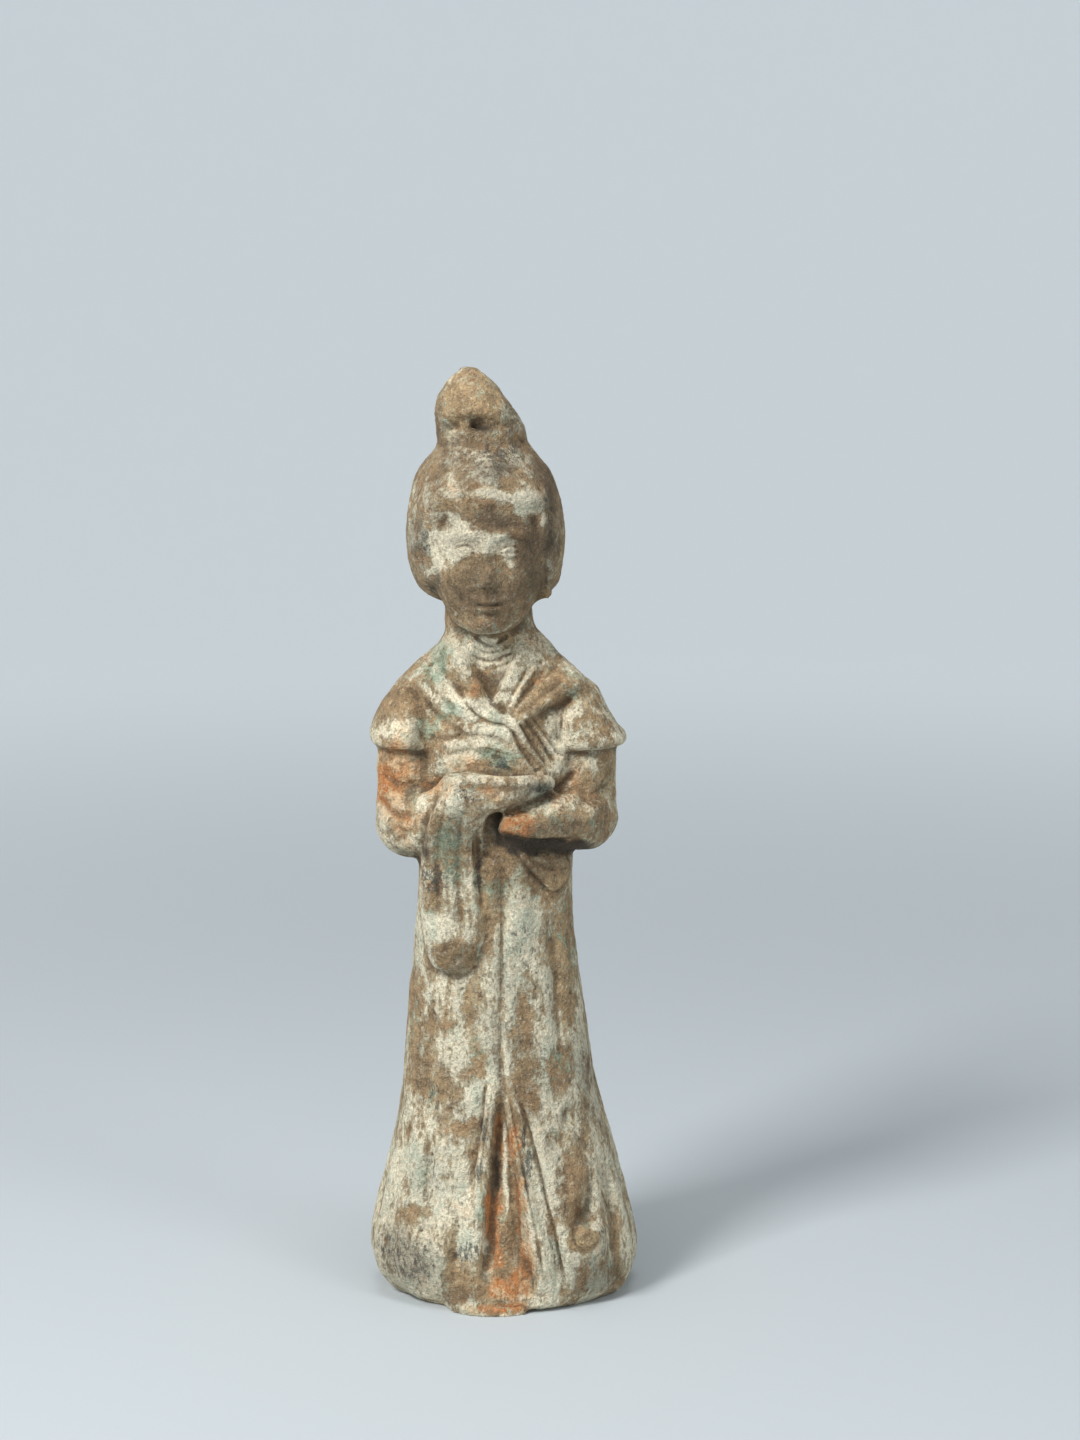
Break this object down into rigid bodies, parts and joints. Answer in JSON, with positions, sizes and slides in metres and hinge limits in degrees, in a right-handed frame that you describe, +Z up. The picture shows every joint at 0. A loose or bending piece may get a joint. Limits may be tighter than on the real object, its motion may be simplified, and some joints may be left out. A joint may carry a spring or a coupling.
{
  "type": "terracotta tomb figure",
  "caption": "Standing terracotta attendant with a leaning topknot, hands folded under a shawl, half sleeves and a long flared skirt that opens in a slit at the front.",
  "frame": {"origin": "centre of the bounding box's underside, on the ground that the figure stands on", "axes": "+Z up to the topknot, -Y out of the figure's front, +X towards the viewer's right"},
  "size_m": [0.0764, 0.0602, 0.2599],
  "materials": {
    "slipped_terracotta": "matte low-fired clay under a worn, chalky slip with traces of orange and green pigment"
  },
  "bodies": {
    "root": {"tomb_figure": "slipped_terracotta"}
  },
  "joints": []
}
